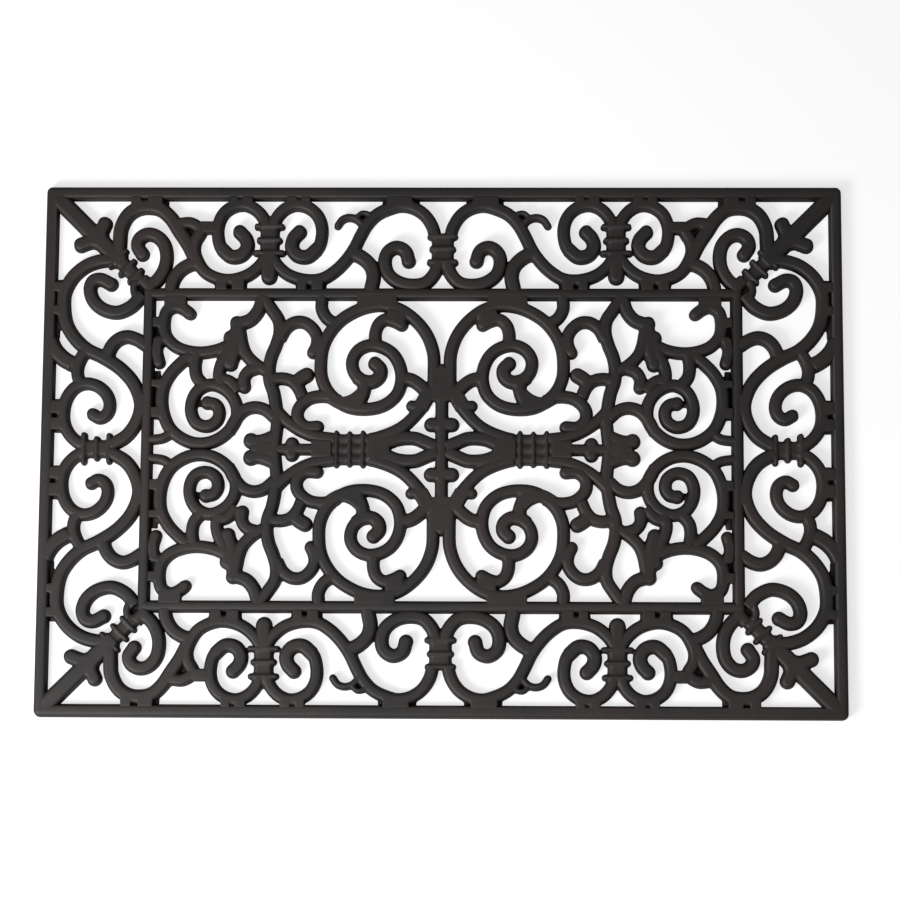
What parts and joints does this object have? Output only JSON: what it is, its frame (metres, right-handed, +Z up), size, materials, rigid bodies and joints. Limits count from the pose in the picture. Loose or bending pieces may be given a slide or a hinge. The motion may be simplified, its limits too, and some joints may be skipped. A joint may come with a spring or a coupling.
{
  "type": "door mat",
  "caption": "Openwork rubber door mat moulded as scrollwork between two rectangular rails, with a flat underside; scrapes shoes and lets water through.",
  "frame": {"origin": "middle of the mat on the floor plane", "axes": "+X along the long side to the right, +Y across the mat to the back edge, +Z up from the floor"},
  "size_m": [0.6, 0.4, 0.009],
  "materials": {
    "moulded_rubber": "matte dark brown-black moulded rubber with a fine satin skin"
  },
  "bodies": {
    "root": {"outer_rail_back": "moulded_rubber", "inner_rail_back": "moulded_rubber", "outer_rail_left": "moulded_rubber", "inner_rail_left": "moulded_rubber", "outer_rail_front": "moulded_rubber", "inner_rail_front": "moulded_rubber", "outer_rail_right": "moulded_rubber", "inner_rail_right": "moulded_rubber", "field_spine": "moulded_rubber", "side_bundle_left": "moulded_rubber", "side_bundle_right": "moulded_rubber", "center_volutes_back": "moulded_rubber", "center_volutes_front": "moulded_rubber", "side_volutes_left": "moulded_rubber", "side_volutes_right": "moulded_rubber", "corner_spear_back_left": "moulded_rubber", "corner_spear_back_right": "moulded_rubber", "corner_spear_front_left": "moulded_rubber", "corner_spear_front_right": "moulded_rubber", "corner_volutes_back_left": "moulded_rubber", "corner_volutes_back_right": "moulded_rubber", "corner_volutes_front_left": "moulded_rubber", "corner_volutes_front_right": "moulded_rubber", "palmette_back_left": "moulded_rubber", "palmette_back_right": "moulded_rubber", "palmette_front_left": "moulded_rubber", "palmette_front_right": "moulded_rubber", "great_scroll_back_left": "moulded_rubber", "great_scroll_back_right": "moulded_rubber", "great_scroll_front_left": "moulded_rubber", "great_scroll_front_right": "moulded_rubber", "side_arm_back_left": "moulded_rubber", "side_arm_back_right": "moulded_rubber", "side_arm_front_left": "moulded_rubber", "side_arm_front_right": "moulded_rubber", "long_arm_back_left": "moulded_rubber", "long_arm_back_right": "moulded_rubber", "long_arm_front_left": "moulded_rubber", "long_arm_front_right": "moulded_rubber", "border_arm_back_left": "moulded_rubber", "border_arm_back_right": "moulded_rubber", "border_arm_front_left": "moulded_rubber", "border_arm_front_right": "moulded_rubber", "border_wave_back_left": "moulded_rubber", "border_wave_back_right": "moulded_rubber", "border_wave_front_left": "moulded_rubber", "border_wave_front_right": "moulded_rubber", "field_leg_back_left": "moulded_rubber", "field_leg_back_right": "moulded_rubber", "field_leg_front_left": "moulded_rubber", "field_leg_front_right": "moulded_rubber", "small_spiral_back_left": "moulded_rubber", "small_spiral_back_right": "moulded_rubber", "small_spiral_front_left": "moulded_rubber", "small_spiral_front_right": "moulded_rubber", "leaf_trunk_back_left": "moulded_rubber", "leaf_trunk_back_right": "moulded_rubber", "leaf_trunk_front_left": "moulded_rubber", "leaf_trunk_front_right": "moulded_rubber"}
  },
  "joints": []
}
